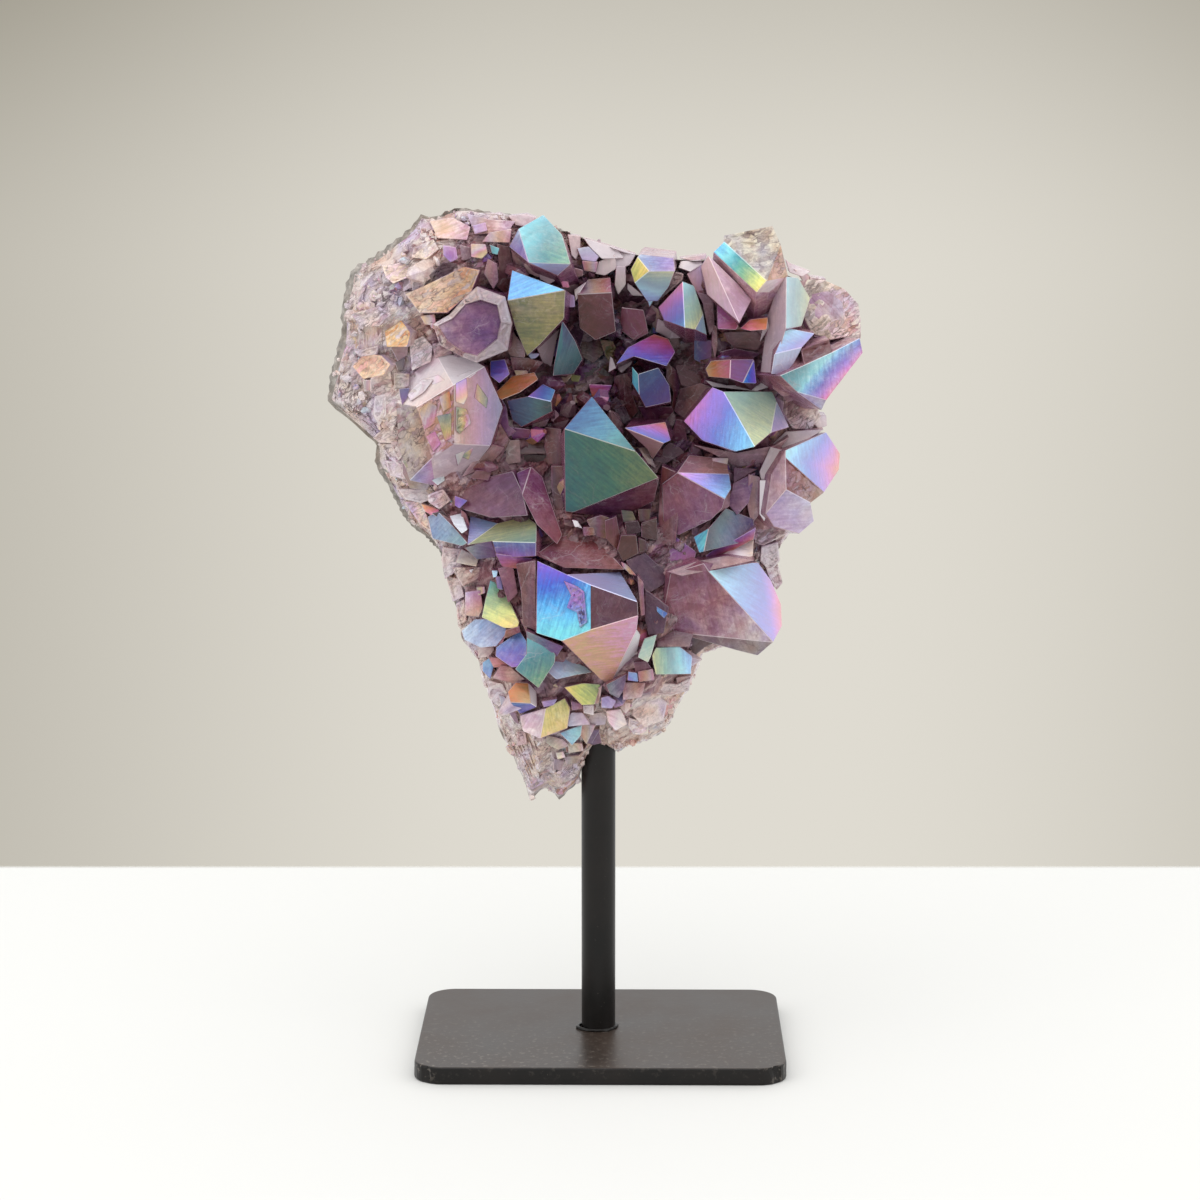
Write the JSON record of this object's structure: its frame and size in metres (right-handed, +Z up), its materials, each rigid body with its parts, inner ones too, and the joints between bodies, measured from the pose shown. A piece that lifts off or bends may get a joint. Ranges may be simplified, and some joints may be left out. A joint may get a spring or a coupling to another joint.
{
  "type": "amethyst geode on a metal display stand",
  "caption": "Broken piece of geode with a crust of rainbow-coated crystals, held upright on a rod above a flat rectangular base plate.",
  "frame": {"origin": "middle of the base plate's underside", "axes": "+Z up along the rod, the open crystal side faces -Y, +X to the right of someone who looks at the crystals"},
  "size_m": [0.1458, 0.0762, 0.2342],
  "materials": {
    "black_steel": "satin",
    "geode_rock": "matte",
    "coated_amethyst": "polished"
  },
  "bodies": {
    "root": {"base_plate": "black_steel", "rod": "black_steel", "geode_wall": "geode_rock", "crystal_crust": "coated_amethyst"}
  },
  "joints": []
}
